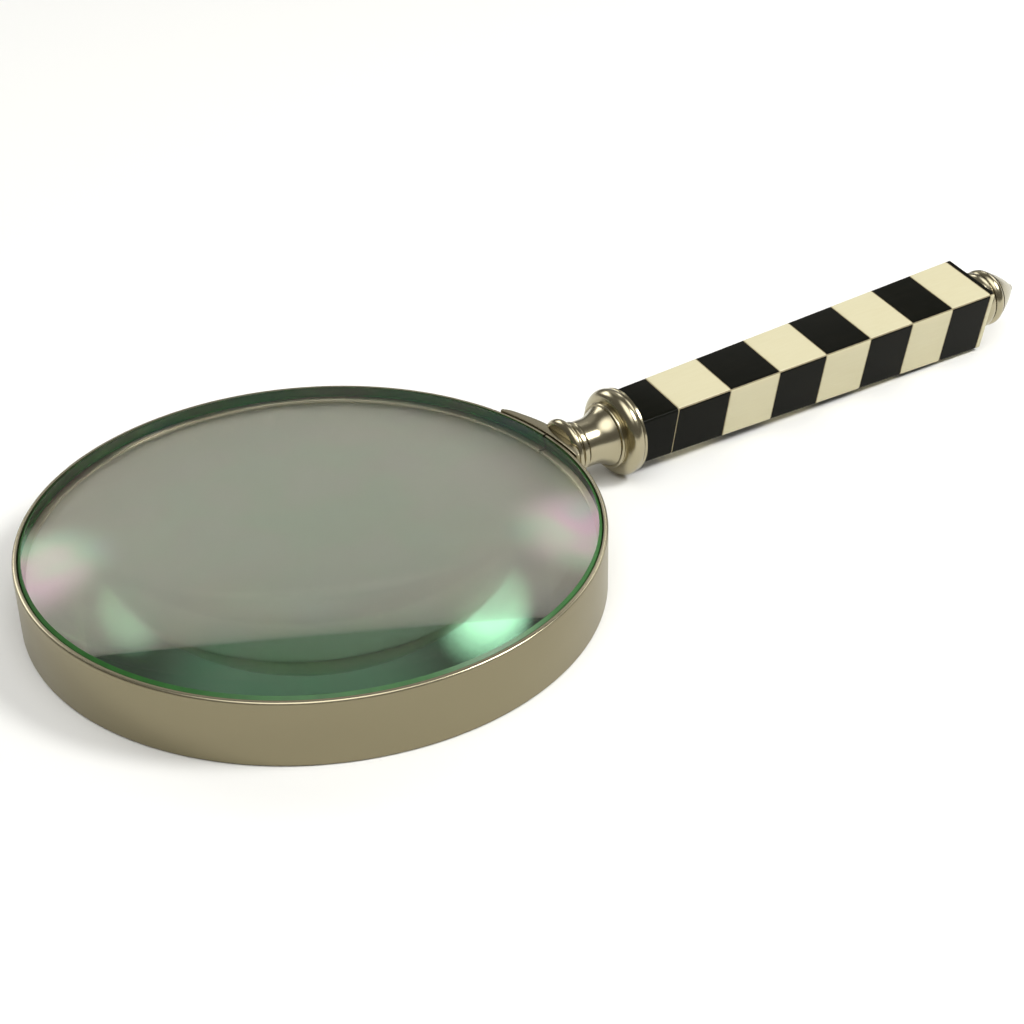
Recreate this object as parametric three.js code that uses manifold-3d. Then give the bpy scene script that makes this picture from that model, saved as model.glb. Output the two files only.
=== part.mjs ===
// Reading magnifier: a thick convex lens in a nickel-plated band, on a square handle of bone and horn.
// Millimetres, +Z up. The band lies flat on z = 0 and the handle runs along +X.

import * as THREE from 'three';
import { mergeVertices } from 'three/addons/utils/BufferGeometryUtils.js';
import Module from 'manifold-3d';

const wasm = await Module();
wasm.setup();

// Driving dimensions: lens

const lensRadius = 50.9;
const lensEdgeHeight = 8.25;
const lensFaceCurve = 320;
const lensBevel = 0.5;
const lensTableGap = 0.5;
const lensProudHeight = 0.3;

// Driving dimensions: band that holds the lens

const bandWall = 0.8;
const bandEdgeRound = 0.45;
const bandLedgeWidth = 2.2;
const bandLedgeHeight = 1;
const bandLedgeRound = 0.3;
const bandSlit = 0.5;
const bandSlitShift = 1.7;

// Driving dimensions: saddle brazed across the slit

const saddleLength = 23.6;
const saddleShift = 3.6;
const saddleThickness = 1.3;
const saddleEndTaper = 1.8;

// Driving dimensions: neck stud between the saddle and the handle

const studSeatRadius = 5.5;
const studBeadRadius = 6.2;
const studBeadLength = 1.7;
const studGrooveRadius = 4.6;
const studGrooveLength = 0.6;
const studCollarRadius = 4.9;
const studCollarLength = 1.1;
const studCollarRound = 0.2;

// Driving dimensions: bell ferrule

const bellThroatRadius = 4.6;
const bellThroatLength = 2.2;
const bellFlareRadius = 5.95;
const bellFlareLength = 3.9;
const bellFlareHollow = 0.35;
const bellStepRadius = 6.8;
const bellStepLength = 0.9;
const bellGrooveRadius = 6.45;
const bellGrooveLength = 0.15;
const bellCrownRadius = 8.65;
const bellCrownLength = 1.75;
const bellBodyEndRadius = 8.2;
const bellBodyEndLength = 1.15;
const bellFlangeRadius = 8.4;
const bellFlangeLength = 0.6;

// Driving dimensions: handle

const rootWidth = 11;
const buttWidth = 14.3;
const handleEdgeRound = 0.7;
const handleTurn = THREE.MathUtils.degToRad(11);
const handleTableGap = 0.45;
const hornBlockLength = 8.55;
const firstRowPitch = 12.7;
const lastRowPitch = 10.85;
const rowCount = 7;
const sliverLength = 1;
const tileThickness = 2.2;

// Driving dimensions: finial and the threaded tang that it closes

const finialSeatRadius = 5.2;
const finialSeatLength = 0.6;
const finialBodyRadius = 6.2;
const finialBodyLength = 3;
const finialGrooveRadius = 5;
const finialGrooveLength = 0.4;
const finialBeadRadius = 6.1;
const finialBeadLength = 2.1;
const finialConeRadius = 5.5;
const finialConeLength = 6.9;
const finialConeBow = 0.25;
const finialNoseRadius = 0.9;
const finialNoseLength = 0.6;
const finialBoreDepth = 8;
const tangRadius = 2;

// Clearances

const seatGap = 0.3;
const glueGap = 0.25;
const boreGap = 0.15;
const threadGap = 0.08;
const cutOverrun = 2;

// Facets round a turn, and steps along a curve

const ringFacets = 96;
const turnedFacets = 40;
const boreFacets = 24;
const domeRings = 7;
const roundSteps = 2;
const curveSteps = 5;

// Heights and stations that follow from the sizes above

const lensFaceRadius = lensRadius - lensBevel;
const lensSag = sagAt(lensFaceRadius);
const lensBase = lensTableGap + lensSag;
const lensTop = lensBase + lensEdgeHeight;

const bandInside = lensRadius + seatGap;
const bandOutside = bandInside + bandWall;
const bandHeight = lensTop - lensProudHeight;
const ledgeInside = bandInside - bandLedgeWidth;
const ledgeTop = lensBase - (lensSag - sagAt(ledgeInside)) - seatGap;

const saddleInside = bandOutside + seatGap;
const saddleOutside = saddleInside + saddleThickness;

const studStart = saddleOutside + seatGap;
const bellStart = studStart + studBeadLength + studGrooveLength + studCollarLength + seatGap;
const bellLength = bellThroatLength + bellFlareLength + bellStepLength + bellGrooveLength
  + bellCrownLength + bellBodyEndLength + bellFlangeLength;
const handleStart = bellStart + bellLength + seatGap;
const rowsStart = handleStart + hornBlockLength + glueGap;

const rowPitches = Array.from({ length: rowCount }, (_, row) =>
  THREE.MathUtils.lerp(firstRowPitch, lastRowPitch, row / (rowCount - 1)));
const rowsLength = rowPitches.reduce((sum, pitch) => sum + pitch, 0);
const sliverStart = rowsStart + rowsLength;
const handleEnd = sliverStart + sliverLength;
const finialStart = handleEnd + seatGap;
const finialLength = finialSeatLength + finialBodyLength + finialBeadLength + 2 * finialGrooveLength
  + finialConeLength + finialNoseLength;
const finialTip = finialStart + finialLength;

const buttReach = (buttWidth / 2) * (Math.cos(handleTurn) + Math.sin(handleTurn));
const axisHeight = buttReach + handleTableGap;
const boreRadius = tangRadius + boreGap;
const threadRadius = tangRadius + threadGap;

// The saddle is as high as the band, or as high as keeps its own thickness of metal over the tang's hole.
const saddleHeight = Math.max(bandHeight, axisHeight + boreRadius + saddleThickness);

// Finishes

const satinNickel = { color: 0xa79f88, roughness: 0.42, metalness: 1 };
const polishedNickel = { color: 0xc9c2b0, roughness: 0.12, metalness: 1 };
const clearGlass = { color: 0x9db3a0, roughness: 0.02, metalness: 0 };
const bone = { color: 0xdbd6b9, roughness: 0.35, metalness: 0 };
const horn = { color: 0x1f1f19, roughness: 0.3, metalness: 0 };
const beech = { color: 0xb58c5c, roughness: 0.7, metalness: 0 };
const plainSteel = { color: 0x8c8c8a, roughness: 0.4, metalness: 1 };

// The origin is the middle of the whole length, on the table. The lens axis lies to one side of it.
const magnifier = new THREE.Group();
magnifier.position.x = -(finialTip - bandOutside) / 2;

// The handle axis carries every turned piece, and the turned group carries the square ones.
const handleAxis = new THREE.Group();
handleAxis.position.z = axisHeight;
magnifier.add(handleAxis);

const squareHandle = new THREE.Group();
squareHandle.rotation.x = handleTurn;
handleAxis.add(squareHandle);

// Height of a lens face over its own pole, at a distance from the optical axis.
function sagAt(radius) {
  return lensFaceCurve - Math.sqrt(lensFaceCurve ** 2 - radius ** 2);
}

function place(parent, name, geometry, finish) {
  const mesh = new THREE.Mesh(geometry, new THREE.MeshStandardMaterial(finish));
  mesh.name = name;
  parent.add(mesh);
  return mesh;
}

function toSolid(geometry) {
  const bare = geometry.clone();
  bare.deleteAttribute('normal');
  bare.deleteAttribute('uv');
  const merged = mergeVertices(bare);
  return new wasm.Manifold(new wasm.Mesh({
    numProp: 3,
    vertProperties: merged.attributes.position.array,
    triVerts: new Uint32Array(merged.index.array),
  }));
}

function toGeometry(solid) {
  const mesh = solid.getMesh();
  const geometry = new THREE.BufferGeometry();
  geometry.setAttribute('position', new THREE.BufferAttribute(mesh.vertProperties, 3));
  geometry.setIndex(new THREE.BufferAttribute(mesh.triVerts, 1));
  geometry.computeVertexNormals();
  return geometry;
}

function cut(geometry, ...tools) {
  const start = toSolid(geometry);
  return toGeometry(tools.reduce((solid, tool) => solid.subtract(toSolid(tool)), start));
}

// Points of an elliptic arc in profile coordinates, angles in turns of a full circle.
function arc(across, along, radiusAcross, radiusAlong, fromTurn, toTurn, steps) {
  return Array.from({ length: steps + 1 }, (_, step) => {
    const angle = 2 * Math.PI * THREE.MathUtils.lerp(fromTurn, toTurn, step / steps);
    return new THREE.Vector2(
      across + radiusAcross * Math.cos(angle),
      along + radiusAlong * Math.sin(angle),
    );
  });
}

function point(across, along) {
  return new THREE.Vector2(across, along);
}

// A rounded swelling between two stations, from a base radius up to its crown and back.
function swelling(baseRadius, crownRadius, start, end, steps) {
  const turn = 3 / 20;
  const halfLength = (end - start) / 2;
  return arc(baseRadius, start + halfLength, crownRadius - baseRadius,
    halfLength / Math.sin(2 * Math.PI * turn), -turn, turn, steps);
}

// A line between two stations that bows outwards at its middle, or inwards where the bow is negative.
function bowed(firstRadius, lastRadius, start, end, bow, steps) {
  const first = point(firstRadius, start);
  const last = point(lastRadius, end);
  const outward = last.clone().sub(first).normalize().rotateAround(point(0, 0), -Math.PI / 2);
  return Array.from({ length: steps + 1 }, (_, step) => {
    const share = step / steps;
    return first.clone().lerp(last, share).addScaledVector(outward, 4 * bow * share * (1 - share));
  });
}

// A ring's profile closes on itself, outer side upwards and inner side downwards.
function turnedRing(profile, facets) {
  return new THREE.LatheGeometry([...profile, profile[0].clone()], facets);
}

// A piece turned about the handle axis: its profile runs from the ring towards the finial.
function turnedAboutHandle(profile, facets) {
  const geometry = turnedRing(profile, facets);
  geometry.rotateZ(-Math.PI / 2);
  return geometry;
}

function boreAlongHandle(radius, start, end) {
  const geometry = new THREE.CylinderGeometry(radius, radius, end - start, boreFacets);
  geometry.rotateZ(-Math.PI / 2);
  geometry.translate((start + end) / 2, 0, 0);
  return geometry;
}

// Lens

function makeLens() {
  const lowerFace = domePoints().map(({ x, y }) => point(x, lensTableGap + y));
  const upperFace = domePoints().map(({ x, y }) => point(x, lensTop + lensSag - y)).reverse();
  const profile = [
    ...lowerFace,
    point(lensRadius, lensBase + lensBevel),
    point(lensRadius, lensTop - lensBevel),
    ...upperFace,
  ];
  const geometry = new THREE.LatheGeometry(profile, ringFacets);
  geometry.rotateX(Math.PI / 2);
  return place(magnifier, 'lens', geometry, clearGlass);
}

function domePoints() {
  return Array.from({ length: domeRings + 1 }, (_, ring) => {
    const radius = lensFaceRadius * (ring / domeRings);
    return point(radius, sagAt(radius));
  });
}

// Band: an upright wall with a ledge under the lens, open at the top, and cut by one slit

function makeBand() {
  const ledgeBase = ledgeTop - bandLedgeHeight;
  const outerRound = bandOutside - bandEdgeRound;
  const profile = [
    point(bandInside, 0),
    ...arc(outerRound, bandEdgeRound, bandEdgeRound, bandEdgeRound, -1 / 4, 0, roundSteps),
    ...arc(outerRound, bandHeight - bandEdgeRound, bandEdgeRound, bandEdgeRound, 0, 1 / 4, roundSteps),
    point(bandInside, bandHeight),
    point(bandInside, ledgeTop),
    ...arc(ledgeInside + bandLedgeRound, ledgeTop - bandLedgeRound, bandLedgeRound, bandLedgeRound,
      1 / 4, 1 / 2, roundSteps),
    point(ledgeInside, ledgeBase),
    point(bandInside, ledgeBase),
  ];
  const ring = turnedRing(profile, ringFacets);
  ring.rotateX(Math.PI / 2);
  const slitReach = bandLedgeWidth + bandWall + cutOverrun;
  const slit = new THREE.BoxGeometry(slitReach + cutOverrun, bandSlit, bandHeight + 2 * cutOverrun);
  slit.translate(bandOutside + cutOverrun - (slitReach + cutOverrun) / 2, bandSlitShift, bandHeight / 2);
  return place(magnifier, 'band', cut(ring, slit), satinNickel);
}

// Saddle: a curved strap over the slit, longer on the far side, its ends filed thin, bored for the tang

function makeSaddle() {
  const nearAngle = (saddleShift - saddleLength / 2) / saddleOutside;
  const farAngle = (saddleShift + saddleLength / 2) / saddleOutside;
  const taperAngle = saddleEndTaper / saddleOutside;
  const outline = new THREE.Shape();
  outline.absarc(0, 0, saddleOutside, nearAngle + taperAngle, farAngle - taperAngle, false);
  outline.absarc(0, 0, saddleInside, farAngle, nearAngle, true);
  outline.closePath();
  const strap = new THREE.ExtrudeGeometry(outline, {
    depth: saddleHeight,
    bevelEnabled: false,
    curveSegments: 2 * curveSteps,
  });
  const bore = boreAlongHandle(boreRadius, saddleInside - cutOverrun, saddleOutside + cutOverrun);
  bore.translate(0, 0, axisHeight);
  return place(magnifier, 'saddle', cut(strap, bore), satinNickel);
}

// Neck stud: bead, groove and collar, its back hollowed to the saddle's curve

function makeNeckStud() {
  const beadMiddle = studStart + studBeadLength / 2;
  const grooveStart = studStart + studBeadLength;
  const collarStart = grooveStart + studGrooveLength;
  const collarEnd = collarStart + studCollarLength;
  const bulge = studBeadRadius - studGrooveRadius;
  const profile = [
    point(boreRadius, studStart - saddleThickness),
    point(studSeatRadius, studStart - saddleThickness),
    point(studSeatRadius, studStart),
    ...arc(studGrooveRadius, beadMiddle, bulge, studBeadLength / 2, -1 / 8, 1 / 4, curveSteps),
    point(studGrooveRadius, collarStart),
    ...arc(studCollarRadius - studCollarRound, collarStart + studCollarRound, studCollarRound,
      studCollarRound, -1 / 4, 0, roundSteps),
    ...arc(studCollarRadius - studCollarRound, collarEnd - studCollarRound, studCollarRound,
      studCollarRound, 0, 1 / 4, roundSteps),
    point(boreRadius, collarEnd),
  ];
  const stud = turnedAboutHandle(profile, turnedFacets);
  const saddleCurve = new THREE.CylinderGeometry(studStart, studStart, 2 * bandHeight, 2 * ringFacets);
  saddleCurve.rotateX(Math.PI / 2);
  return place(handleAxis, 'neck_stud', cut(stud, saddleCurve), polishedNickel);
}

// Bell ferrule: throat, hollow flare, step ring, fine groove, swelling body and thin flange

function makeBell() {
  const flareStart = bellStart + bellThroatLength;
  const stepStart = flareStart + bellFlareLength;
  const grooveStart = stepStart + bellStepLength;
  const bodyStart = grooveStart + bellGrooveLength;
  const crown = bodyStart + bellCrownLength;
  const flangeStart = crown + bellBodyEndLength;
  const bellEnd = flangeStart + bellFlangeLength;
  const profile = [
    point(boreRadius, bellStart),
    point(bellThroatRadius, bellStart),
    ...bowed(bellThroatRadius, bellFlareRadius, flareStart, stepStart, -bellFlareHollow, curveSteps),
    ...swelling(bellFlareRadius, bellStepRadius, stepStart, grooveStart, 2 * roundSteps),
    point(bellGrooveRadius, grooveStart),
    ...arc(bellGrooveRadius, crown, bellCrownRadius - bellGrooveRadius, bellCrownLength,
      -1 / 4, 0, curveSteps),
    ...arc(bellBodyEndRadius, crown, bellCrownRadius - bellBodyEndRadius, bellBodyEndLength,
      1 / 20, 1 / 4, curveSteps),
    point(bellFlangeRadius, flangeStart),
    point(bellFlangeRadius, bellEnd),
    point(boreRadius, bellEnd),
  ];
  return place(handleAxis, 'bell_ferrule', turnedAboutHandle(profile, turnedFacets), polishedNickel);
}

// Square handle: half its width at a station along the axis

function handleHalf(station) {
  const share = (station - handleStart) / (handleEnd - handleStart);
  return THREE.MathUtils.lerp(rootWidth, buttWidth, share) / 2;
}

// A straight loft between two outlines with the same number of points, at two stations along X.
function loft(outlineAt, start, end) {
  const first = outlineAt(start);
  const last = outlineAt(end);
  const corner = ({ x, y }, station) => [station, x, y];
  const caps = THREE.ShapeUtils.triangulateShape(first, []);
  const positions = [];
  caps.forEach(([a, b, c]) => {
    positions.push(...corner(first[a], start), ...corner(first[c], start), ...corner(first[b], start));
    positions.push(...corner(last[a], end), ...corner(last[b], end), ...corner(last[c], end));
  });
  first.forEach((_, index) => {
    const next = (index + 1) % first.length;
    const [a, b] = [corner(first[index], start), corner(first[next], start)];
    const [c, d] = [corner(last[next], end), corner(last[index], end)];
    positions.push(...a, ...b, ...c, ...a, ...c, ...d);
  });
  const geometry = new THREE.BufferGeometry();
  geometry.setAttribute('position', new THREE.Float32BufferAttribute(positions, 3));
  geometry.computeVertexNormals();
  return geometry;
}

function squareOutline(half, round) {
  return [0, 1, 2, 3].flatMap((corner) => {
    const turn = corner / 4;
    const centre = point(half - round, half - round).rotateAround(point(0, 0), 2 * Math.PI * turn);
    return arc(centre.x, centre.y, round, round, turn, turn + 1 / 4, roundSteps);
  });
}

// One face's plate: mitred at both sides, its outer edges taking half of the handle's round.
function plateOutline(half) {
  const mitre = glueGap / Math.SQRT2;
  const inner = half - tileThickness;
  const roundCentre = half - handleEdgeRound;
  const mitreTurn = Math.acos(-glueGap / 2 / handleEdgeRound) / (2 * Math.PI) - 1 / 8;
  const rightRound = arc(roundCentre, roundCentre, handleEdgeRound, handleEdgeRound,
    mitreTurn, 1 / 4, roundSteps);
  const leftRound = rightRound.map(({ x, y }) => point(-x, y)).reverse();
  return [
    point(mitre - inner, inner),
    point(inner - mitre, inner),
    ...rightRound,
    ...leftRound,
  ];
}

function makeHornBlock() {
  const block = loft((station) => squareOutline(handleHalf(station), handleEdgeRound),
    handleStart, handleStart + hornBlockLength);
  const bore = boreAlongHandle(boreRadius, handleStart - cutOverrun,
    handleStart + hornBlockLength + cutOverrun);
  return place(squareHandle, 'horn_end_block', cut(block, bore), horn);
}

function makeCore() {
  const coreOutline = (station) =>
    squareOutline(handleHalf(station) - tileThickness - glueGap, handleEdgeRound);
  const core = loft(coreOutline, rowsStart, handleEnd);
  const bore = boreAlongHandle(boreRadius, rowsStart - cutOverrun, handleEnd + cutOverrun);
  return place(squareHandle, 'core', cut(core, bore), beech);
}

// Plates lie on four faces. Bone and horn change places from row to row and from face to face.
function makePlates() {
  const faces = ['top', 'front', 'bottom', 'back'];
  let start = rowsStart;
  [...rowPitches, sliverLength].forEach((pitch, row) => {
    const end = row < rowCount ? start + pitch - glueGap : handleEnd;
    faces.forEach((face, side) => {
      const isBone = (row + side) % 2 === 0;
      const label = row < rowCount ? `${face}_${row + 1}` : `${face}_end`;
      const plate = loft((station) => plateOutline(handleHalf(station)), start, end);
      const mesh = place(squareHandle, `${isBone ? 'bone' : 'horn'}_${label}`, plate, isBone ? bone : horn);
      mesh.rotation.x = side * Math.PI / 2;
    });
    start += pitch;
  });
}

// Finial: a nut with a swelling body, a bead and a bowed cone, bored blind for the tang

function makeFinial() {
  const bodyStart = finialStart + finialSeatLength;
  const bodyEnd = bodyStart + finialBodyLength;
  const beadStart = bodyEnd + finialGrooveLength;
  const beadEnd = beadStart + finialBeadLength;
  const coneStart = beadEnd + finialGrooveLength;
  const noseStart = coneStart + finialConeLength;
  const profile = [
    point(0, finialStart + finialBoreDepth),
    point(threadRadius, finialStart + finialBoreDepth),
    point(threadRadius, finialStart),
    point(finialSeatRadius, finialStart),
    point(finialSeatRadius, bodyStart),
    ...swelling(finialSeatRadius, finialBodyRadius, bodyStart, bodyEnd, 2 * curveSteps),
    point(finialGrooveRadius, bodyEnd),
    point(finialGrooveRadius, beadStart),
    ...swelling(finialGrooveRadius, finialBeadRadius, beadStart, beadEnd, 2 * curveSteps),
    point(finialGrooveRadius, beadEnd),
    point(finialGrooveRadius, coneStart),
    ...bowed(finialConeRadius, finialNoseRadius, coneStart, noseStart, finialConeBow, curveSteps),
    ...arc(0, noseStart, finialNoseRadius, finialNoseLength, 1 / 16, 1 / 4, roundSteps),
  ];
  const geometry = new THREE.LatheGeometry(profile, turnedFacets);
  geometry.rotateZ(-Math.PI / 2);
  return place(handleAxis, 'finial', geometry, polishedNickel);
}

// Tang: the long stud through the whole handle, from the saddle into the finial

function makeTang() {
  const tangStart = saddleInside;
  const tangEnd = finialStart + finialBoreDepth - seatGap;
  const geometry = new THREE.CylinderGeometry(tangRadius, tangRadius, tangEnd - tangStart, boreFacets);
  geometry.rotateZ(-Math.PI / 2);
  geometry.translate((tangStart + tangEnd) / 2, 0, 0);
  return place(handleAxis, 'tang', geometry, plainSteel);
}

makeBand();
makeLens();
makeSaddle();
makeNeckStud();
makeBell();
makeHornBlock();
makeCore();
makePlates();
makeTang();
makeFinial();

export default magnifier;
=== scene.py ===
"""Dresses the reading magnifier: smooth turned metal, thick glass, bone and horn plates, and a small studio."""

import math

import bmesh
import bpy
from bpy.props import FloatProperty, FloatVectorProperty, IntProperty, PointerProperty
from mathutils import Matrix, Quaternion, Vector


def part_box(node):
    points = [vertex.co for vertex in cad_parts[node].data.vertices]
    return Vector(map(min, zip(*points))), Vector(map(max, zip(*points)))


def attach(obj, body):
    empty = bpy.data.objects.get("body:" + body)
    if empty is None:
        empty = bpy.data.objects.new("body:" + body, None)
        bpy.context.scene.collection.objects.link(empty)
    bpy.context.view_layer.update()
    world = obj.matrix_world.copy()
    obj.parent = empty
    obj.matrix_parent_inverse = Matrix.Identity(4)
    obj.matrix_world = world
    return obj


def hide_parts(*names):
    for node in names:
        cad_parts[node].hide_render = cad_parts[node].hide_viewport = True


bl_info = {
    "name": "Reading magnifier",
    "version": (1, 0, 0),
    "blender": (4, 5, 0),
    "location": "3D View > Sidebar > Magnifier",
    "description": "Builds a reading magnifier with a bone and horn handle over its packed solids",
    "category": "Add Mesh",
}

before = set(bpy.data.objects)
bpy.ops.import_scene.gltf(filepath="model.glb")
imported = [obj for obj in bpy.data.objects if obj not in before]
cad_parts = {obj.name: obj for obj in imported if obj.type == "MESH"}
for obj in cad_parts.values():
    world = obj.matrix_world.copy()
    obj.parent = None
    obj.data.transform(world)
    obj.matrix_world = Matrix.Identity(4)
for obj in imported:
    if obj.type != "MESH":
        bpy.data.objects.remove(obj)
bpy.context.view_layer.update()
MM = 0.001
FULL_TURN = 2 * math.pi
TOLERANCE = 0.001 * MM  # for finding faces by where they lie

# Where the pieces stand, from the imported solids
LENS_LOW, LENS_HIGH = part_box("lens")
FINIAL_LOW, FINIAL_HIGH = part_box("finial")
BELL_LOW, BELL_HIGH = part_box("bell_ferrule")
BAND_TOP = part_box("band")[1][2]
LENS_X = (LENS_LOW[0] + LENS_HIGH[0]) / 2
AXIS_Z = (FINIAL_LOW[2] + FINIAL_HIGH[2]) / 2

HANDLE_TURN = math.radians(11)
TANG_BORE = 2.15  # millimetres, the hole's radius in the stud and the ferrule
NUT_BORE = 2.08  # millimetres, the radius of the finial's blind hole
NUT_BORE_DEPTH = 8.0  # millimetres


def linear(code):
    """An sRGB hex colour as the four linear numbers that Blender's sockets take."""
    shares = [int(code[i : i + 2], 16) / 255 for i in (1, 3, 5)]
    return tuple(c / 12.92 if c <= 0.04045 else ((c + 0.055) / 1.055) ** 2.4 for c in shares) + (1.0,)


def length(label, description, millimetres):
    """A length property, shown in the scene's own unit."""
    return FloatProperty(name=label, description=description, default=millimetres * MM, unit="LENGTH")


def colour(label, description, code):
    """A colour property that keeps linear values, as a colour picker does."""
    return FloatVectorProperty(
        name=label, description=description, size=4, subtype="COLOR", min=0, max=1, default=linear(code)
    )


class MagnifierSizes(bpy.types.PropertyGroup):
    """Sizes that someone may want to change, in metres."""

    lens_radius: length("Lens radius", "Half the width of the glass", 50.9)
    lens_edge: length("Lens edge", "Height of the glass at its rim", 8.25)
    lens_curve: length("Lens curve", "Radius of both polished faces", 320)
    lens_bevel: length("Lens bevel", "Ground bevel round each edge of the glass", 0.5)
    lens_clear: length("Lens clearance", "Height of the lower face's middle above the table", 0.5)
    lens_proud: length("Lens standing proud", "Height of the glass's rim above the band", 0.3)
    band_wall: length("Band wall", "Thickness of the metal band", 0.8)
    band_seat: length("Glass seat gap", "Gap between the glass and the metal", 0.3)
    band_round: length("Band edge round", "Rounding of the band's outer edges", 0.45)
    ledge_width: length("Ledge width", "Width of the ledge under the glass", 2.2)
    ledge_height: length("Ledge height", "Thickness of the ledge under the glass", 1.0)
    slit: length("Slit", "Width of the slit where the band's ends meet", 0.5)
    slit_shift: length("Slit shift", "Distance of the slit from the handle's axis", 1.7)
    saddle_length: length("Saddle length", "Length of the strap over the slit", 23.6)
    saddle_shift: length("Saddle shift", "Distance of the strap's middle from the handle's axis", 3.6)
    saddle_wall: length("Saddle thickness", "Thickness of the strap over the slit", 1.3)
    saddle_crown: length("Saddle crown", "Extra thickness of the strap at its middle", 0.9)
    plate_bevel: length("Plate bevel", "Softened edge of each bone or horn plate", 0.09)
    glue_gap: length("Glue line", "Width of the filled joint between two plates", 0.25)
    glue_recess: length("Glue recess", "Depth of the filled joints below the plates", 0.05)
    root_width: length("Root width", "Width of the handle at the ferrule", 11)
    butt_width: length("Butt width", "Width of the handle at the finial", 14.3)
    edge_round: length("Handle edge round", "Rounding of the handle's long edges", 0.7)
    plate_depth: length("Plate thickness", "Thickness of the bone and horn plates", 2.2)
    turned_steps: IntProperty(name="Turned steps", description="Facets round each turned piece", default=128)
    ring_steps: IntProperty(name="Ring steps", description="Facets round the band and the glass", default=288)


class MagnifierColours(bpy.types.PropertyGroup):
    """Colours that someone may want to change."""

    satin: colour("Satin nickel", "Rubbed nickel plate on the band", "#8E866C")
    polished: colour("Polished nickel", "Bright nickel plate on the turned pieces", "#ABA389")
    # Painted light: the paler nickel inside the band brightens its shaded inner wall and ledge seen through the glass
    inside_painted_light: colour("Inside nickel, painted paler", "Nickel plate inside the band, painted paler as painted light", "#E2DCC9")
    bone: colour("Bone", "Cream plates", "#CCC5A2")
    bone_dark: colour("Bone grain", "Darker streaks in the cream plates", "#C3B990")
    horn: colour("Horn", "Black plates", "#0A0B05")
    horn_light: colour("Horn streak", "Paler streaks in the black plates", "#14130C")
    glue: colour("Glue", "Resin in the joints between plates", "#6F6347")
    glue_light: colour("Glue, paler", "Bone dust in the resin", "#A89C78")
    glass: colour("Glass tint", "What the thick glass lets through", "#89CBAA")
    edge: colour("Glass edge", "Ground rim of the glass", "#1D521C")
    edge_light: colour("Glass edge, paler", "Paler clouds on the ground rim", "#357230")
    floor: colour("Floor", "Paper that the magnifier lies on", "#F2F2EF")


def sizes():
    """The scene's sizes."""
    return bpy.context.scene.magnifier_sizes


def colours():
    """The scene's colours."""
    return bpy.context.scene.magnifier_colours


# Meshes


def arc(across, along, radius_across, radius_along, start, end, steps):
    """Points of an elliptic arc; start and end are in degrees, from the outward direction towards along."""
    points = []
    for step in range(steps + 1):
        angle = math.radians(start + (end - start) * step / steps)
        points.append((across + radius_across * math.cos(angle), along + radius_along * math.sin(angle)))
    return points


def swelling(base, crown, start, end, steps, reach=54):
    """A rounded swelling between two stations: as much of an ellipse about the base radius as lies within reach
    degrees of its crown."""
    half = (end - start) / 2
    return arc(base, start + half, crown - base, half / math.sin(math.radians(reach)), -reach, reach, steps)


def bowed(first, last, start, end, bow, steps):
    """A line between two stations that bows outwards at its middle, or inwards where the bow is negative."""
    run, rise = end - start, last - first
    reach = math.hypot(run, rise)
    points = []
    for step in range(steps + 1):
        share = step / steps
        push = 4 * bow * share * (1 - share)
        points.append((first + rise * share + push * run / reach, start + run * share - push * rise / reach))
    return points


def spun(profile, axis, centre, steps, angle=FULL_TURN, start=0.0, closed=True):
    """A bmesh of a profile of (radius, along) points in metres, spun about an axis through centre. Less than a
    full turn keeps the profile's own face as a cap at each end."""
    mesh = bmesh.new()
    along = Vector(axis)
    out = Vector((1, 0, 0)) if abs(along.z) > 0.5 else Vector((0, 0, 1))
    out.rotate(Quaternion(along, start))
    verts = [mesh.verts.new(Vector(centre) + out * r + along * a) for r, a in profile]
    ring = verts + [mesh.edges.new(pair) for pair in zip(verts, verts[1:])]
    if closed:
        ring.append(mesh.edges.new((verts[-1], verts[0])))
    whole = angle == FULL_TURN
    if not whole:
        ring.append(mesh.faces.new(verts))
    bmesh.ops.spin(
        mesh, geom=ring, cent=centre, axis=along, angle=angle, steps=steps, use_merge=whole, use_duplicate=False
    )
    bmesh.ops.remove_doubles(mesh, verts=mesh.verts, dist=1e-7)
    bmesh.ops.recalc_face_normals(mesh, faces=mesh.faces)
    return mesh


def turned(profile, start, closed=True):
    """A bmesh of a profile in millimetres, turned about the handle's axis from a station along it."""
    points = [(radius * MM, along * MM) for radius, along in profile]
    return spun(points, (1, 0, 0), (start, 0, AXIS_Z), sizes().turned_steps, closed=closed)


def off_lens_axis(place):
    """The level vector to a place from the upright axis of the lens."""
    return place - Vector((LENS_X, 0, place.z))


def finish_piece(name, mesh, material, body, nodes=(), smooth=True):
    """Turns a bmesh into a piece that rides on a body and stands for its CAD nodes."""
    data = bpy.data.meshes.new(name)
    mesh.to_mesh(data)
    mesh.free()
    data.materials.append(material)
    if smooth:
        data.shade_smooth()
    piece = bpy.data.objects.new(name, data)
    bpy.context.scene.collection.objects.link(piece)
    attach(piece, body)
    if nodes:
        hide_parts(*nodes)
    return piece


def sharpen(mesh, degrees=32):
    """Marks edges that are sharper than an angle, so that smooth shading stops there."""
    limit = math.radians(degrees)
    for edge in mesh.edges:
        if len(edge.link_faces) == 2 and edge.calc_face_angle() > limit:
            edge.smooth = False


# Materials

# Sockets of the Mix node, several of which have the same name
FACTOR, NUMBER_A, NUMBER_B, COLOUR_A, COLOUR_B = 0, 2, 3, 6, 7
MIXED_COLOUR = 2


def add_node(tree, kind, inputs=None, **settings):
    """Adds a node, sets its own settings, and sets or links its inputs."""
    node = tree.nodes.new(kind)
    for key, value in settings.items():
        setattr(node, key, value)
    for key, value in (inputs or {}).items():
        if isinstance(value, bpy.types.NodeSocket):
            tree.links.new(value, node.inputs[key])
        else:
            node.inputs[key].default_value = value
    return node


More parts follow.
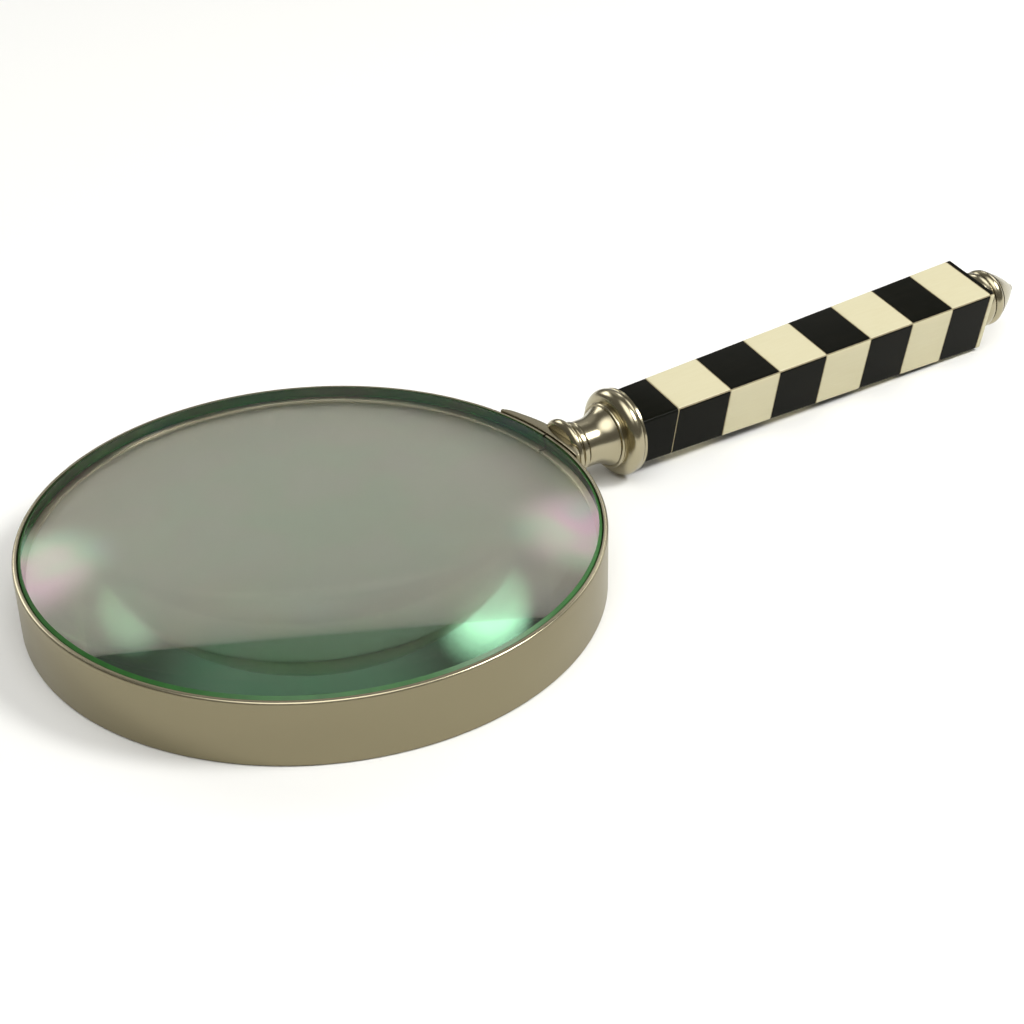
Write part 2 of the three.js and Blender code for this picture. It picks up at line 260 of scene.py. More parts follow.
def new_material(name, shown):
    """An empty node material with its output, and the colour that the viewport shows."""
    material = bpy.data.materials.new(name)
    material.use_nodes = True
    material.diffuse_color = shown
    tree = material.node_tree
    tree.nodes.clear()
    return material, tree, add_node(tree, "ShaderNodeOutputMaterial")


def per_mm(size):
    """A texture scale whose features are about this many millimetres across."""
    return 1 / (size * MM)


def satin_nickel():
    """Nickel plate rubbed down to a satin: soft wide reflections, a warm grey, and a top edge rubbed to polished nickel
    whose lighter colour is also a painted highlight.
    """
    material, tree, output = new_material("Satin nickel plate", colours().satin)
    place = add_node(tree, "ShaderNodeTexCoord")
    cloud = add_node(tree, "ShaderNodeTexNoise", {"Vector": place.outputs["Object"], "Scale": per_mm(14), "Detail": 3})
    rubbed = add_node(tree, "ShaderNodeMapRange", {"Value": cloud.outputs["Fac"], "To Min": 0.34, "To Max": 0.42})
    height = add_node(tree, "ShaderNodeSeparateXYZ", {"Vector": place.outputs["Object"]})
    # Near the top edge the colour turns to the lighter polished nickel: rubbed wear, and also a painted highlight along
    # that edge
    wear_and_painted_highlight = add_node(
        tree, "ShaderNodeMapRange",
        {"Value": height.outputs["Z"], "From Min": BAND_TOP - 0.35 * MM, "From Max": BAND_TOP - 0.1 * MM},
        interpolation_type="SMOOTHSTEP",
    )
    rough = add_node(
        tree, "ShaderNodeMix", {FACTOR: wear_and_painted_highlight.outputs[0], NUMBER_A: rubbed.outputs[0], NUMBER_B: 0.26},
        data_type="FLOAT",
    )
    tint = add_node(
        tree, "ShaderNodeMix", {FACTOR: wear_and_painted_highlight.outputs[0], COLOUR_A: colours().satin, COLOUR_B: colours().polished},
        data_type="RGBA",
    )
    # Real rub marks are finer than a pixel, so they are drawn half a millimetre across
    grain = add_node(tree, "ShaderNodeTexNoise", {"Vector": place.outputs["Object"], "Scale": per_mm(0.5), "Detail": 2})
    bump = add_node(tree, "ShaderNodeBump", {"Height": grain.outputs["Fac"], "Strength": 0.05, "Distance": 0.01 * MM})
    metal = add_node(
        tree, "ShaderNodeBsdfPrincipled",
        {
            "Base Color": tint.outputs[MIXED_COLOUR], "Metallic": 1.0, "Roughness": rough.outputs[0],
            "Normal": bump.outputs[0],
        },
    )
    tree.links.new(metal.outputs[0], output.inputs["Surface"])
    return material


def inside_nickel_painted_light():
    """Nickel plate inside the band, painted paler than the band outside: painted light, so that the inner wall and
    ledge, which lie in shade, show bright through the glass.
    """
    material, tree, output = new_material("Inside nickel plate, painted paler", colours().inside_painted_light)
    place = add_node(tree, "ShaderNodeTexCoord")
    cloud = add_node(tree, "ShaderNodeTexNoise", {"Vector": place.outputs["Object"], "Scale": per_mm(6), "Detail": 3})
    rough = add_node(tree, "ShaderNodeMapRange", {"Value": cloud.outputs["Fac"], "To Min": 0.28, "To Max": 0.36})
    metal = add_node(
        tree, "ShaderNodeBsdfPrincipled",
        {"Base Color": colours().inside_painted_light, "Metallic": 1.0, "Roughness": rough.outputs[0]},
    )
    tree.links.new(metal.outputs[0], output.inputs["Surface"])
    return material


def polished_nickel():
    """Bright nickel plate over turned brass: clear warm reflections, a little softer where it was handled."""
    material, tree, output = new_material("Polished nickel plate", colours().polished)
    place = add_node(tree, "ShaderNodeTexCoord")
    smear = add_node(tree, "ShaderNodeTexNoise", {"Vector": place.outputs["Object"], "Scale": per_mm(4), "Detail": 4})
    rough = add_node(tree, "ShaderNodeMapRange", {"Value": smear.outputs["Fac"], "To Min": 0.17, "To Max": 0.25})
    metal = add_node(
        tree, "ShaderNodeBsdfPrincipled",
        {"Base Color": colours().polished, "Metallic": 1.0, "Roughness": rough.outputs[0]},
    )
    tree.links.new(metal.outputs[0], output.inputs["Surface"])
    return material


def lens_glass():
    """Polished crown glass, so thick that its own green shows wherever light goes a long way through it. A faint
    film on its faces turns what mirrors in them a little pink and green."""
    material, tree, output = new_material("Thick polished glass", colours().glass)
    place = add_node(tree, "ShaderNodeTexCoord")
    cloud = add_node(tree, "ShaderNodeTexNoise", {"Vector": place.outputs["Object"], "Scale": per_mm(15), "Detail": 1})
    film = add_node(tree, "ShaderNodeMapRange", {"Value": cloud.outputs["Fac"], "To Min": 560.0, "To Max": 960.0})
    glass = add_node(
        tree, "ShaderNodeBsdfPrincipled",
        {
            "Base Color": linear("#EEE4E0"), "Roughness": 0.0, "IOR": 1.52, "Transmission Weight": 1.0,
            "Thin Film Thickness": film.outputs[0], "Thin Film IOR": 1.41,
        },
    )
    depth = add_node(tree, "ShaderNodeVolumeAbsorption", {"Color": colours().glass, "Density": 20.0})
    tree.links.new(glass.outputs[0], output.inputs["Surface"])
    tree.links.new(depth.outputs[0], output.inputs["Volume"])
    return material


def ground_edge():
    """The lens's rim, ground rough and set in the band: from inside the glass it looks deep bottle green. A dark line
    of painted shade stands on it where the band's slit is behind it."""
    material, tree, output = new_material("Ground glass edge", colours().edge)
    place = add_node(tree, "ShaderNodeTexCoord")
    cloud = add_node(tree, "ShaderNodeTexNoise", {"Vector": place.outputs["Object"], "Scale": per_mm(3), "Detail": 3})
    tint = add_node(
        tree, "ShaderNodeMix",
        {FACTOR: cloud.outputs["Fac"], COLOUR_A: colours().edge, COLOUR_B: colours().edge_light},
        data_type="RGBA",
    )
    # Painted shade: the rim is coloured near black in a strip where the band's slit lies behind it, on the handle's
    # side
    spot = add_node(tree, "ShaderNodeSeparateXYZ", {"Vector": place.outputs["Object"]})
    slit = add_node(
        tree, "ShaderNodeMath", {0: spot.outputs["Y"], 1: sizes().slit_shift, 2: sizes().slit / 2},
        operation="COMPARE",
    )
    near = add_node(tree, "ShaderNodeMath", {0: spot.outputs["X"], 1: LENS_X}, operation="GREATER_THAN")
    seen = add_node(tree, "ShaderNodeMath", {0: slit.outputs[0], 1: near.outputs[0]}, operation="MULTIPLY")
    shade = add_node(
        tree, "ShaderNodeMix",
        {FACTOR: seen.outputs[0], COLOUR_A: tint.outputs[MIXED_COLOUR], COLOUR_B: linear("#0B0C0A")},
        data_type="RGBA",
    )
    body = add_node(
        tree, "ShaderNodeBsdfPrincipled",
        {"Base Color": shade.outputs[MIXED_COLOUR], "Roughness": 0.35, "IOR": 1.52},
    )
    tree.links.new(body.outputs[0], output.inputs["Surface"])
    return material


def bone():
    """Sawn and polished camel bone: cream, with fine streaks along the handle and a soft gloss."""
    material, tree, output = new_material("Polished bone", colours().bone)
    place = add_node(tree, "ShaderNodeTexCoord")
    lay = add_node(tree, "ShaderNodeMapping", {"Vector": place.outputs["Object"], "Scale": (0.12, 1, 1)})
    # Real pores are about 0.2 mm wide, too fine to show, so the streaks are drawn half a millimetre wide
    streak = add_node(tree, "ShaderNodeTexNoise", {"Vector": lay.outputs[0], "Scale": per_mm(0.5), "Detail": 4})
    cloud = add_node(tree, "ShaderNodeTexNoise", {"Vector": place.outputs["Object"], "Scale": per_mm(9), "Detail": 2})
    share = add_node(tree, "ShaderNodeMapRange", {"Value": streak.outputs["Fac"], "From Min": 0.35, "From Max": 1.1})
    deep = add_node(tree, "ShaderNodeMath", {0: share.outputs[0], 1: cloud.outputs["Fac"]}, operation="MULTIPLY")
    tint = add_node(
        tree, "ShaderNodeMix", {FACTOR: deep.outputs[0], COLOUR_A: colours().bone, COLOUR_B: colours().bone_dark},
        data_type="RGBA",
    )
    rough = add_node(tree, "ShaderNodeMapRange", {"Value": cloud.outputs["Fac"], "To Min": 0.3, "To Max": 0.42})
    bump = add_node(tree, "ShaderNodeBump", {"Height": streak.outputs["Fac"], "Strength": 0.1, "Distance": 0.02 * MM})
    body = add_node(
        tree, "ShaderNodeBsdfPrincipled",
        {
            "Base Color": tint.outputs[MIXED_COLOUR], "Roughness": rough.outputs[0], "IOR": 1.54,
            "Normal": bump.outputs[0],
        },
    )
    tree.links.new(body.outputs[0], output.inputs["Surface"])
    return material


def horn():
    """Polished black buffalo horn: nearly black, with long brownish streaks and a quiet gloss."""
    material, tree, output = new_material("Polished black horn", colours().horn)
    place = add_node(tree, "ShaderNodeTexCoord")
    lay = add_node(tree, "ShaderNodeMapping", {"Vector": place.outputs["Object"], "Scale": (0.1, 1, 1)})
    streak = add_node(tree, "ShaderNodeTexNoise", {"Vector": lay.outputs[0], "Scale": per_mm(0.8), "Detail": 5})
    share = add_node(tree, "ShaderNodeMapRange", {"Value": streak.outputs["Fac"], "From Min": 0.45, "From Max": 0.9})
    tint = add_node(
        tree, "ShaderNodeMix", {FACTOR: share.outputs[0], COLOUR_A: colours().horn, COLOUR_B: colours().horn_light},
        data_type="RGBA",
    )
    cloud = add_node(tree, "ShaderNodeTexNoise", {"Vector": place.outputs["Object"], "Scale": per_mm(3), "Detail": 3})
    rough = add_node(tree, "ShaderNodeMapRange", {"Value": cloud.outputs["Fac"], "To Min": 0.2, "To Max": 0.3})
    body = add_node(
        tree, "ShaderNodeBsdfPrincipled",
        {
            "Base Color": tint.outputs[MIXED_COLOUR], "Roughness": rough.outputs[0], "IOR": 1.54,
            "Specular IOR Level": 0.05,
        },
    )
    tree.links.new(body.outputs[0], output.inputs["Surface"])
    return material


def glue():
    """Cured resin with bone dust in it, which fills the joints: dull brown lines with paler specks."""
    material, tree, output = new_material("Resin joint filler", colours().glue)
    place = add_node(tree, "ShaderNodeTexCoord")
    speck = add_node(tree, "ShaderNodeTexNoise", {"Vector": place.outputs["Object"], "Scale": per_mm(0.8), "Detail": 3})
    tint = add_node(
        tree, "ShaderNodeMix",
        {FACTOR: speck.outputs["Fac"], COLOUR_A: colours().glue, COLOUR_B: colours().glue_light},
        data_type="RGBA",
    )
    body = add_node(tree, "ShaderNodeBsdfPrincipled", {"Base Color": tint.outputs[MIXED_COLOUR], "Roughness": 0.6})
    tree.links.new(body.outputs[0], output.inputs["Surface"])
    return material


def beech():
    """Plain beech, unfinished: pale brown with darker lines along the grain."""
    material, tree, output = new_material("Plain beech", linear("#B58C5C"))
    place = add_node(tree, "ShaderNodeTexCoord")
    lay = add_node(tree, "ShaderNodeMapping", {"Vector": place.outputs["Object"], "Scale": (0.06, 1, 1)})
    grain = add_node(tree, "ShaderNodeTexNoise", {"Vector": lay.outputs[0], "Scale": per_mm(0.7), "Detail": 4})
    tint = add_node(
        tree, "ShaderNodeMix",
        {FACTOR: grain.outputs["Fac"], COLOUR_A: linear("#C19A6A"), COLOUR_B: linear("#8F6A42")},
        data_type="RGBA",
    )
    body = add_node(tree, "ShaderNodeBsdfPrincipled", {"Base Color": tint.outputs[MIXED_COLOUR], "Roughness": 0.7})
    tree.links.new(body.outputs[0], output.inputs["Surface"])
    return material


def plain_steel():
    """Drawn steel rod, dull from the die, with fine lines along it."""
    material, tree, output = new_material("Drawn steel", linear("#8C8C8A"))
    place = add_node(tree, "ShaderNodeTexCoord")
    lay = add_node(tree, "ShaderNodeMapping", {"Vector": place.outputs["Object"], "Scale": (0.05, 1, 1)})
    line = add_node(tree, "ShaderNodeTexNoise", {"Vector": lay.outputs[0], "Scale": per_mm(0.2), "Detail": 2})
    rough = add_node(tree, "ShaderNodeMapRange", {"Value": line.outputs["Fac"], "To Min": 0.35, "To Max": 0.55})
    body = add_node(
        tree, "ShaderNodeBsdfPrincipled",
        {"Base Color": linear("#9B9B98"), "Metallic": 1.0, "Roughness": rough.outputs[0]},
    )
    tree.links.new(body.outputs[0], output.inputs["Surface"])
    return material


def material_of(maker):
    """Each finish is made once and shared by its pieces."""
    made = dict(bpy.context.scene.get("magnifier_made", {}))
    name = made.get(maker.__name__, "")
    if name not in bpy.data.materials:
        made[maker.__name__] = name = maker().name
        bpy.context.scene["magnifier_made"] = made
    return bpy.data.materials[name]


# Heights that the glass, the band and the strap share


def sag_at(radius):
    """How far a domed face falls away from its middle's height at a radius."""
    curve = sizes().lens_curve
    return curve - math.sqrt(curve**2 - radius**2)


def lens_heights():
    """Base and top of the glass's rim above the table, and the height of each domed face."""
    s = sizes()
    sag = sag_at(s.lens_radius - s.lens_bevel)
    base = s.lens_clear + sag
    return base, base + s.lens_edge, sag


def band_height():
    """Height of the band's upper edge above the table."""
    return lens_heights()[1] - sizes().lens_proud


# Operators


class MAGNIFIER_OT_lens(bpy.types.Operator):
    """Add the thick convex lens"""

    bl_idname = "magnifier.lens"
    bl_label = "Lens"

    def execute(self, context):
        s = sizes()
        base, top, sag = lens_heights()
        face = s.lens_radius - s.lens_bevel
        rings = 40
        lower = [(face * i / rings, s.lens_clear + sag_at(face * i / rings)) for i in range(rings + 1)]
        upper = [(face * i / rings, top + sag - sag_at(face * i / rings)) for i in reversed(range(rings + 1))]
        edge = [(s.lens_radius, base + s.lens_bevel), (s.lens_radius, top - s.lens_bevel)]
        mesh = spun(lower + edge + upper, (0, 0, 1), (LENS_X, 0, 0), s.ring_steps, closed=False)
        sharpen(mesh, degrees=20)
        for facet in mesh.faces:
            if all(off_lens_axis(v.co).length > face - TOLERANCE for v in facet.verts):
                facet.material_index = 1
        piece = finish_piece("thick_lens", mesh, material_of(lens_glass), "holder", ("lens",))
        piece.data.materials.append(material_of(ground_edge))
        return {"FINISHED"}


class MAGNIFIER_OT_band(bpy.types.Operator):
    """Add the metal band with its ledge and slit"""

    bl_idname = "magnifier.band"
    bl_label = "Band"

    def execute(self, context):
        s = sizes()
        base, top, sag = lens_heights()
        height = band_height()
        inside = s.lens_radius + s.band_seat
        outside = inside + s.band_wall
        ledge_inside = inside - s.ledge_width
        ledge_top = base - (sag - sag_at(ledge_inside)) - s.band_seat
        edge = s.band_round
        lip = s.ledge_height * 0.3
        profile = (
            [(inside, 0)]
            + arc(outside - edge, edge, edge, edge, -90, 0, 6)
            + arc(outside - edge, height - edge, edge, edge, 0, 90, 6)
            + [(inside, height), (inside, ledge_top)]
            + arc(ledge_inside + lip, ledge_top - lip, lip, lip, 90, 180, 5)
            + [(ledge_inside, ledge_top - s.ledge_height), (inside, ledge_top - s.ledge_height)]
        )
        half_slit = s.slit / 2 / outside
        mesh = spun(
            profile, (0, 0, 1), (LENS_X, 0, 0), s.ring_steps, angle=FULL_TURN - 2 * half_slit,
            start=s.slit_shift / outside + half_slit,
        )
        sharpen(mesh)
        # The inside faces take the paler nickel, painted light that brightens them where they lie in shade
        for facet in mesh.faces:
            if all(off_lens_axis(v.co).length < inside + TOLERANCE for v in facet.verts):
                facet.material_index = 1
        piece = finish_piece("nickel_band", mesh, material_of(satin_nickel), "holder", ("band",))
        piece.data.materials.append(material_of(inside_nickel_painted_light))
        return {"FINISHED"}


class MAGNIFIER_OT_saddle(bpy.types.Operator):
    """Add the strap brazed over the slit"""

    bl_idname = "magnifier.saddle"
    bl_label = "Saddle"

    def execute(self, context):
        s = sizes()
        height = band_height()
        inside = s.lens_radius + 2 * s.band_seat + s.band_wall
        outside = inside + s.saddle_wall
        half = s.saddle_length / 2 / outside
        middle = s.saddle_shift / outside
        steps = 48
        mesh = spun(
            [(inside, 0), (outside, 0), (outside, height), (inside, height)],
            (0, 0, 1), (LENS_X, 0, 0), steps, angle=2 * half, start=middle - half,
        )
        taper = 1.8 * MM / outside  # the turn over which each end thins
        thinned = 0.45  # the share of its wall that an end loses
        for vert in mesh.verts:
            out = off_lens_axis(vert.co)
            angle = abs(math.atan2(out.y, out.x) - middle)
            share = max(0.0, (angle - (half - taper)) / taper)
            if out.length > inside + s.saddle_wall / 2:
                crown = s.saddle_crown * math.cos(math.pi / 2 * min(1.0, angle / half)) ** 2
                wall = s.saddle_wall * (1 - thinned * share) + crown
                vert.co = Vector((LENS_X, 0, vert.co.z)) + out.normalized() * (inside + wall)
        sharp = [e for e in mesh.edges if len(e.link_faces) == 2 and e.calc_face_angle() > math.radians(30)]
        bmesh.ops.bevel(
            mesh, geom=sharp, offset=0.16 * MM, segments=3, profile=0.5, affect="EDGES", material=-1,
            clamp_overlap=True,
        )
        bmesh.ops.recalc_face_normals(mesh, faces=mesh.faces)
        sharpen(mesh, degrees=50)
        finish_piece("nickel_saddle", mesh, material_of(satin_nickel), "holder", ("saddle",))
        return {"FINISHED"}


class MAGNIFIER_OT_neck(bpy.types.Operator):
    """Add the turned stud and the bell ferrule"""

    bl_idname = "magnifier.neck"
    bl_label = "Stud and ferrule"

    def execute(self, context):
        self.add_stud()
        self.add_bell()
        return {"FINISHED"}

    def add_stud(self):
        """The stud's back is hollowed to sit on the strap's curve."""
        s = sizes()
        seat = s.lens_radius + 3 * s.band_seat + s.band_wall + s.saddle_wall
        start = LENS_X + seat
        back = -0.6
        profile = (
            [(TANG_BORE, back), (5.2, back)]
            + swelling(3.9, 6.2, -0.28, 1.7, 16)  # bead
            + [(4.6, 1.7), (4.6, 2.3)]  # groove
            + arc(4.7, 2.5, 0.2, 0.2, -90, 0, 4)  # collar
            + arc(4.7, 3.2, 0.2, 0.2, 0, 90, 4)
            + [(TANG_BORE, 3.4)]
        )
        mesh = turned(profile, start)
        for vert in mesh.verts:
            if vert.co.x < start + back / 2 * MM:
                vert.co.x = LENS_X + math.sqrt(seat**2 - vert.co.y**2)
        sharpen(mesh)
        finish_piece("turned_stud", mesh, material_of(polished_nickel), "holder", ("neck_stud",))

    def add_bell(self):
        """The ferrule opens like a bell towards the handle."""
        profile = (
            [(TANG_BORE, 0), (4.5, 0), (4.6, 0.1)]
            + bowed(4.6, 5.95, 2.2, 6.1, -0.35, 16)  # throat
            + swelling(5.95, 6.55, 6.1, 6.8, 10)  # bead
            + [(6.45, 6.9)]
            + arc(6.45, 8.9, 2.2, 1.75, -90, 0, 16)  # crown
            + arc(8.2, 8.9, 0.45, 1.15, 10, 90, 10)
            + [(8.32, 10.05), (8.4, 10.13), (8.4, 10.57), (8.32, 10.65), (TANG_BORE, 10.65)]
        )
        mesh = turned(profile, BELL_LOW[0])
        sharpen(mesh)
        finish_piece("bell", mesh, material_of(polished_nickel), "holder", ("bell_ferrule",))


class MAGNIFIER_OT_finial(bpy.types.Operator):
    """Add the turned finial nut"""

    bl_idname = "magnifier.finial"
    bl_label = "Finial"

    def execute(self, context):
        profile = (
            [(0, NUT_BORE_DEPTH), (NUT_BORE, NUT_BORE_DEPTH), (NUT_BORE, 0), (5.1, 0), (5.2, 0.1)]
            + swelling(5.2, 6.2, 0.6, 3.6, 16)  # wide bead
            + [(5.0, 3.6), (5.0, 4.0)]
            + swelling(5.0, 6.1, 4.0, 6.1, 14)  # narrow bead
            + [(5.0, 6.1), (5.0, 6.5)]
            + bowed(5.5, 0.9, 6.5, 13.4, 0.25, 16)  # point
            + arc(0, 13.4, 0.9, 0.6, 25, 90, 8)
        )
        mesh = turned(profile, FINIAL_LOW[0], closed=False)
        sharpen(mesh)
        finish_piece("turned_finial", mesh, material_of(polished_nickel), "finial_nut", ("finial",))
        return {"FINISHED"}


class MAGNIFIER_OT_plates(bpy.types.Operator):
    """Finish the bone and horn plates and the horn end block"""

    bl_idname = "magnifier.plates"
    bl_label = "Plates"

    def execute(self, context):
        for name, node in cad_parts.items():
            if name.startswith("bone_"):
                self.finish_plate(node, material_of(bone))
            elif name.startswith("horn_"):
                self.finish_plate(node, material_of(horn))
        return {"FINISHED"}

    def finish_plate(self, node, material):
        """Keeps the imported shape, softens its edges and keeps its faces looking flat."""
        node.data.materials.clear()
        node.data.materials.append(material)
        weld = node.modifiers.new("Join triangles", "WELD")
        weld.merge_threshold = 1e-6
        bevel = node.modifiers.new("Softened edges", "BEVEL")
        bevel.width = sizes().plate_bevel
        bevel.segments = 2
        bevel.limit_method = "ANGLE"
        bevel.angle_limit = math.radians(35)
        node.modifiers.new("Flat faces", "WEIGHTED_NORMAL")


class MAGNIFIER_OT_glue(bpy.types.Operator):
    """Add the filled joints between the plates"""

    bl_idname = "magnifier.glue"
    bl_label = "Glue lines"

    def execute(self, context):
        s = sizes()
        self.start = BELL_HIGH[0] + s.band_seat
        self.end = FINIAL_LOW[0] - s.band_seat
        rows = [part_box(name)[0][0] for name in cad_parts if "_top_" in name]
        mesh = bmesh.new()
        for row in sorted(rows):
            self.add_joint(mesh, row - s.glue_gap / 2)
        for corner in range(4):
            self.add_mitre(mesh, min(rows), corner)
        turn = Matrix.Translation((0, 0, AXIS_Z)) @ Matrix.Rotation(HANDLE_TURN, 4, "X")
        bmesh.ops.transform(mesh, matrix=turn, verts=mesh.verts)
        bmesh.ops.recalc_face_normals(mesh, faces=mesh.faces)
        finish_piece("glue_lines", mesh, material_of(glue), "holder", smooth=False)
        return {"FINISHED"}

    def half_at(self, station):
        """Half the handle's width at a station along it."""
        s = sizes()
        share = (station - self.start) / (self.end - self.start)
        return (s.root_width + (s.butt_width - s.root_width) * share) / 2

    def add_joint(self, mesh, station):
        """A thin square frame that fills the joint between two rows."""
        s = sizes()
        half = self.half_at(station)
        near = station - s.glue_gap / 2
        outer = self.add_outline(mesh, near, half - s.glue_recess, s.edge_round)
        inner = self.add_outline(mesh, near, half - s.plate_depth, s.glue_gap)
        sheet = bmesh.ops.bridge_loops(mesh, edges=outer + inner)["faces"]
        self.thicken(mesh, sheet, (s.glue_gap, 0, 0))

    def add_outline(self, mesh, station, half, radius):
        """The edges of a square with rounded corners, across the handle at a station."""
        outline = []
        for corner, (side_y, side_z) in enumerate(((1, 1), (-1, 1), (-1, -1), (1, -1))):
            turn = 90 * corner
            outline += arc(side_y * (half - radius), side_z * (half - radius), radius, radius, turn, turn + 90, 4)
        verts = [mesh.verts.new((station, y, z)) for y, z in outline]
        return [mesh.edges.new(pair) for pair in zip(verts, verts[1:] + verts[:1])]

    def add_mitre(self, mesh, station, corner):
        """A thin sheet that fills the mitre along one edge of the handle, from a station to the butt."""
        s = sizes()
        verts = []
        for x in (station, self.end):
            half = self.half_at(x)
            outer = (half - s.edge_round) * math.sqrt(2) + s.edge_round - s.glue_recess
            inner = (half - s.plate_depth) * math.sqrt(2)
            verts += [mesh.verts.new((x, y, -s.glue_gap / 2)) for y in (inner, outer)]
        sheet = bmesh.ops.contextual_create(mesh, geom=verts)["faces"]
        verts += self.thicken(mesh, sheet, (0, 0, s.glue_gap))
        turn = Matrix.Rotation(math.radians(45 + 90 * corner), 4, "X")
        bmesh.ops.transform(mesh, matrix=turn, verts=verts)

    def thicken(self, mesh, sheet, step):
        """Extrudes a flat sheet by its thickness, and gives back the new vertices."""
        grown = bmesh.ops.extrude_face_region(mesh, geom=sheet)["geom"]
        verts = [part for part in grown if isinstance(part, bmesh.types.BMVert)]
        bmesh.ops.translate(mesh, verts=verts, vec=step)
        return verts


class MAGNIFIER_OT_core(bpy.types.Operator):
    """Finish the hidden core and tang"""

    bl_idname = "magnifier.core"
    bl_label = "Core and tang"

    def execute(self, context):
        for name, maker in (("core", beech), ("tang", plain_steel)):
            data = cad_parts[name].data
            data.materials.clear()
            data.materials.append(material_of(maker))
        return {"FINISHED"}


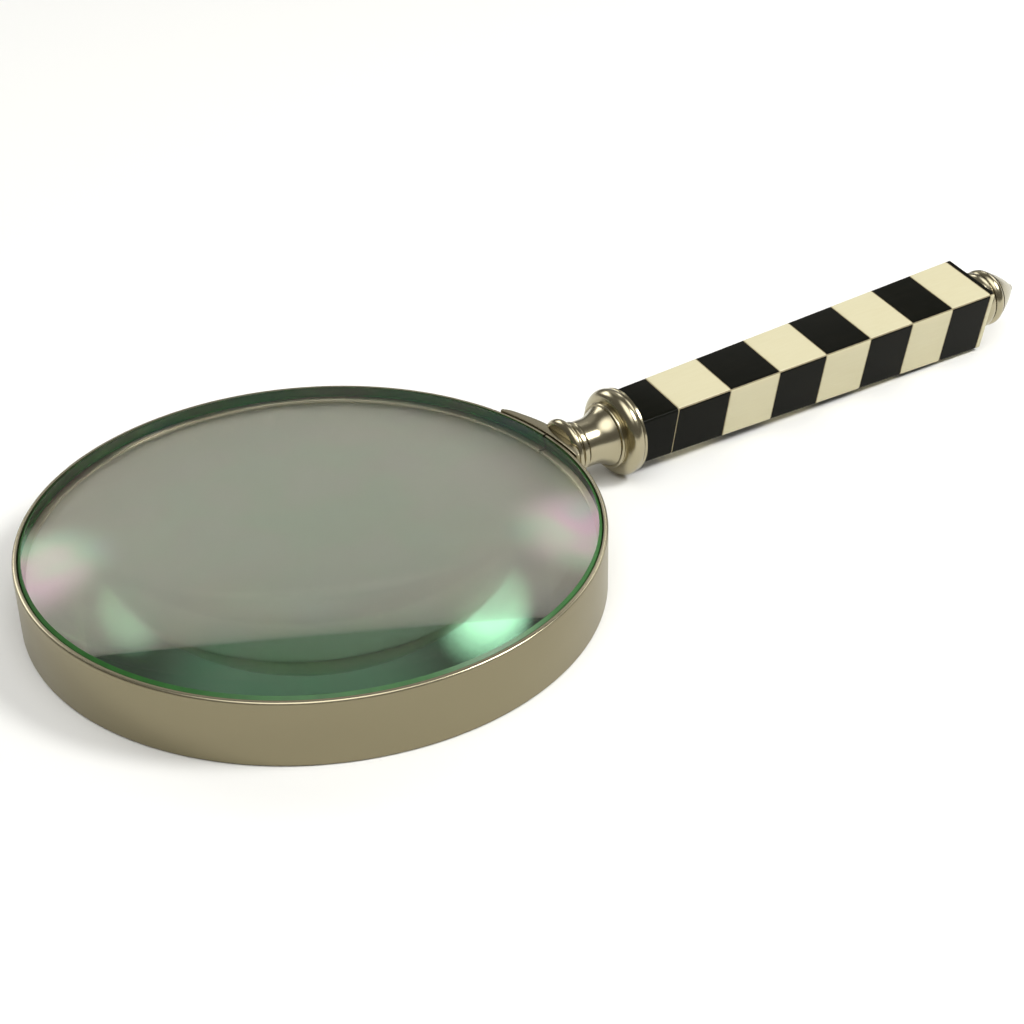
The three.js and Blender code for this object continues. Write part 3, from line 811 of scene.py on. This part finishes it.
class MAGNIFIER_OT_stage(bpy.types.Operator):
    """Add the floor, the soft lights and the camera"""

    bl_idname = "magnifier.stage"
    bl_label = "Studio"

    def execute(self, context):
        self.add_floor()
        self.add_lights(context)
        self.add_camera(context)
        return {"FINISHED"}

    def add_floor(self):
        """Plain pale paper that runs past the edges of the picture."""
        mesh = bmesh.new()
        bmesh.ops.create_grid(mesh, x_segments=1, y_segments=1, size=3.0)
        data = bpy.data.meshes.new("studio_floor")
        mesh.to_mesh(data)
        mesh.free()
        material, tree, output = new_material("Pale paper", colours().floor)
        paper = add_node(tree, "ShaderNodeBsdfPrincipled", {"Base Color": colours().floor, "Roughness": 0.9})
        tree.links.new(paper.outputs[0], output.inputs["Surface"])
        data.materials.append(material)
        floor = bpy.data.objects.new("studio_floor", data)
        bpy.context.scene.collection.objects.link(floor)

    def add_lights(self, context):
        """A dim warm room, and seven softboxes. The last two only mirror in the glass."""
        world = bpy.data.worlds.new("Soft studio")
        world.use_nodes = True
        room = world.node_tree.nodes["Background"]
        room.inputs["Color"].default_value = linear("#F1EDE4")
        room.inputs["Strength"].default_value = 0.2
        context.scene.world = world
        self.add_softbox(context, "Overhead softbox", azimuth=236, elevation=70, size=1.4, radiance=2.9)
        self.add_softbox(context, "Right softbox", azimuth=-40, elevation=46, size=0.46, radiance=27)
        self.add_softbox(context, "Back softbox", azimuth=57, elevation=36, size=1.1, radiance=0.32)
        self.add_softbox(context, "Far right softbox", azimuth=8, elevation=27, size=0.6, radiance=2.8)
        self.add_softbox(context, "Far left softbox", azimuth=105, elevation=28, size=0.62, radiance=4.2)
        small = {"size": 0.27, "radiance": 3.8, "behind": False}
        self.add_softbox(context, "Back right softbox", azimuth=38, elevation=32, **small)
        self.add_softbox(context, "Back left softbox", azimuth=87, elevation=31, **small)

    def add_softbox(self, context, name, azimuth, elevation, size, radiance, behind=True):
        """A round softbox a metre from the lens. Its azimuth in degrees starts at the handle's direction, and its
        power follows from its size and from how bright its cloth looks. Where behind is false, it isn't seen
        through the glass."""
        side, rise = math.radians(azimuth), math.radians(elevation)
        toward = Vector((math.cos(side) * math.cos(rise), math.sin(side) * math.cos(rise), math.sin(rise)))
        data = bpy.data.lights.new(name, "AREA")
        data.shape = "DISK"
        data.size = size
        data.energy = math.pi * (math.pi * size**2 / 4) * radiance
        self.soften(data)
        light = bpy.data.objects.new(name, data)
        light.location = Vector((LENS_X, 0, 0)) + toward
        light.rotation_euler = (-toward).to_track_quat("-Z", "Y").to_euler()
        light.visible_transmission = behind
        context.scene.collection.objects.link(light)

    def soften(self, data):
        """Lets the light fade from its middle to its rim, as cloth over a round softbox does."""
        data.use_nodes = True
        tree = data.node_tree
        place = add_node(tree, "ShaderNodeNewGeometry")
        away = add_node(
            tree, "ShaderNodeVectorMath", {0: place.outputs["Parametric"], 1: (0.5, 0.5, 0)}, operation="DISTANCE"
        )
        fade = add_node(
            tree, "ShaderNodeMapRange",
            {"Value": away.outputs["Value"], "From Min": 0.15, "From Max": 0.5, "To Min": 1.0, "To Max": 0.0},
            interpolation_type="SMOOTHSTEP",
        )
        tree.links.new(fade.outputs[0], tree.nodes["Emission"].inputs["Strength"])

    def add_camera(self, context):
        """A long lens above the glass, on the side away from the handle, set for the photograph's frame of 1024 pixels
        across.
        """
        azimuth, elevation, roll = (math.radians(angle) for angle in (-34.08, 31.70, -1.14))
        focal_pixels, frame_pixels = 2000.2, 1024
        away = 373.9 * MM
        target = Vector((LENS_X + 40 * MM, -3.54 * MM, 2.13 * MM))
        back = Vector(
            (math.sin(azimuth) * math.cos(elevation), -math.cos(azimuth) * math.cos(elevation), math.sin(elevation))
        )
        data = bpy.data.cameras.new("Photo camera")
        data.sensor_width = 36
        data.lens = data.sensor_width * focal_pixels / frame_pixels
        data.clip_start = 0.01
        camera = bpy.data.objects.new("Photo camera", data)
        camera.location = target + back * away
        turn = (-back).to_track_quat("-Z", "Y") @ Quaternion((0, 0, 1), roll)
        camera.rotation_euler = turn.to_euler()
        context.scene.collection.objects.link(camera)
        context.scene.camera = camera
        context.scene.view_settings.view_transform = "Standard"
        # Light crosses the thick glass many times before it leaves
        paths = context.scene.cycles
        paths.max_bounces = 40
        paths.glossy_bounces = 32
        paths.transmission_bounces = 32


class MAGNIFIER_PT_panel(bpy.types.Panel):
    """Sidebar panel with the sizes, the colours and a button for each piece"""

    bl_idname = "MAGNIFIER_PT_panel"
    bl_label = "Reading magnifier"
    bl_space_type = "VIEW_3D"
    bl_region_type = "UI"
    bl_category = "Magnifier"

    def draw(self, context):
        for group in (context.scene.magnifier_sizes, context.scene.magnifier_colours):
            box = self.layout.box()
            for key in group.bl_rna.properties.keys():
                if key not in {"rna_type", "name"}:
                    box.prop(group, key)
        for operator in OPERATORS:
            self.layout.operator(operator.bl_idname)


OPERATORS = (
    MAGNIFIER_OT_stage,
    MAGNIFIER_OT_band,
    MAGNIFIER_OT_lens,
    MAGNIFIER_OT_saddle,
    MAGNIFIER_OT_neck,
    MAGNIFIER_OT_finial,
    MAGNIFIER_OT_plates,
    MAGNIFIER_OT_glue,
    MAGNIFIER_OT_core,
)
CLASSES = (MagnifierSizes, MagnifierColours) + OPERATORS + (MAGNIFIER_PT_panel,)


def register():
    for cls in CLASSES:
        bpy.utils.register_class(cls)
    bpy.types.Scene.magnifier_sizes = PointerProperty(type=MagnifierSizes)
    bpy.types.Scene.magnifier_colours = PointerProperty(type=MagnifierColours)


def unregister():
    del bpy.types.Scene.magnifier_colours
    del bpy.types.Scene.magnifier_sizes
    for cls in reversed(CLASSES):
        bpy.utils.unregister_class(cls)


def main():
    register()
    bpy.ops.magnifier.stage()
    bpy.ops.magnifier.band()
    bpy.ops.magnifier.lens()
    bpy.ops.magnifier.saddle()
    bpy.ops.magnifier.neck()
    bpy.ops.magnifier.finial()
    bpy.ops.magnifier.plates()
    bpy.ops.magnifier.glue()
    bpy.ops.magnifier.core()


if __name__ == "__main__":
    main()
